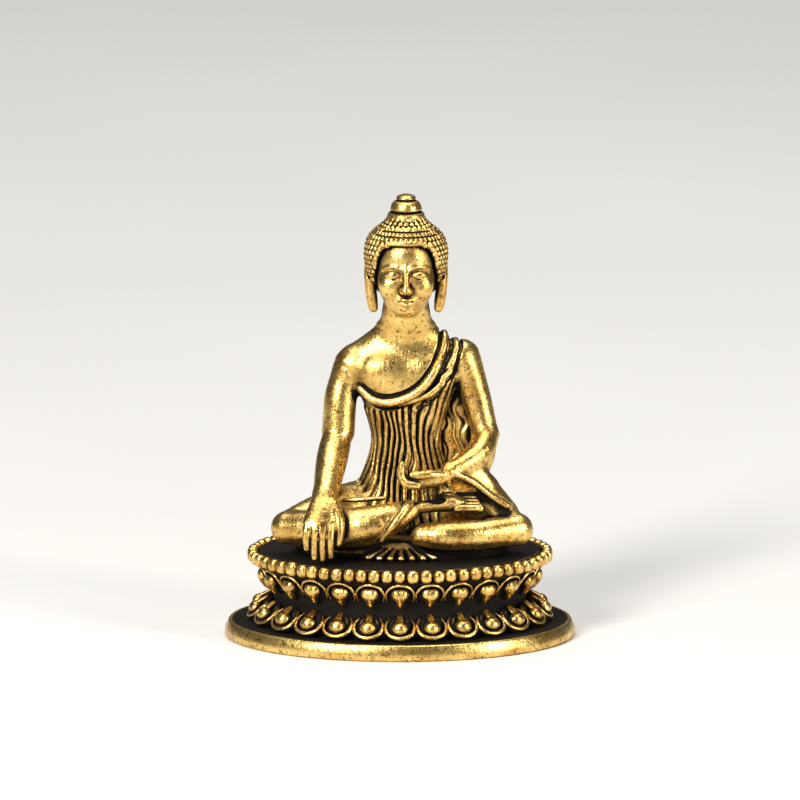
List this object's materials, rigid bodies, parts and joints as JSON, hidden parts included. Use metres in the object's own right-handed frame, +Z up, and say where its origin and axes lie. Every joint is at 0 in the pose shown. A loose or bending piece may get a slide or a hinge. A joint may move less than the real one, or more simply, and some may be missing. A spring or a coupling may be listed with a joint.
{
  "type": "buddha statue",
  "caption": "Small cast brass seated Buddha touching the earth with its right hand, on an oval double-lotus pedestal with a beaded rim.",
  "frame": {"origin": "centre of the foot plate's flat underside, where the statue stands", "axes": "+Z up, -Y to the statue's front, +X to the statue's left side (the viewer's right when seen from the front)"},
  "size_m": [0.035, 0.0268, 0.0446],
  "materials": {
    "figure_brass": "cast, rubbed bright on high points, dark patina in recesses",
    "pedestal_brass": "cast, rubbed bright on high points, near-black patina in recesses",
    "turned_brass": "turned, plain"
  },
  "bodies": {
    "root": {"robe_hem": "figure_brass", "right_leg": "figure_brass", "left_leg": "figure_brass", "right_foot": "figure_brass", "torso": "figure_brass", "robe_sash": "figure_brass", "robe_drape": "figure_brass", "right_upper_arm": "figure_brass", "right_forearm": "figure_brass", "left_upper_arm": "figure_brass", "left_forearm_sleeve": "figure_brass", "left_hand": "figure_brass", "head": "figure_brass", "hair_cap": "figure_brass", "topknot_finial": "figure_brass", "foot_plate": "pedestal_brass", "lotus_drum": "pedestal_brass", "lower_petals": "pedestal_brass", "upper_petals": "pedestal_brass", "bead_rim": "pedestal_brass", "seat_plate": "pedestal_brass", "fixing_screws": "turned_brass", "neck_pin": "turned_brass", "finial_pin": "turned_brass", "right_shoulder_pin": "turned_brass", "left_shoulder_pin": "turned_brass", "elbow_pin": "turned_brass", "hip_pins": "turned_brass"}
  },
  "joints": []
}
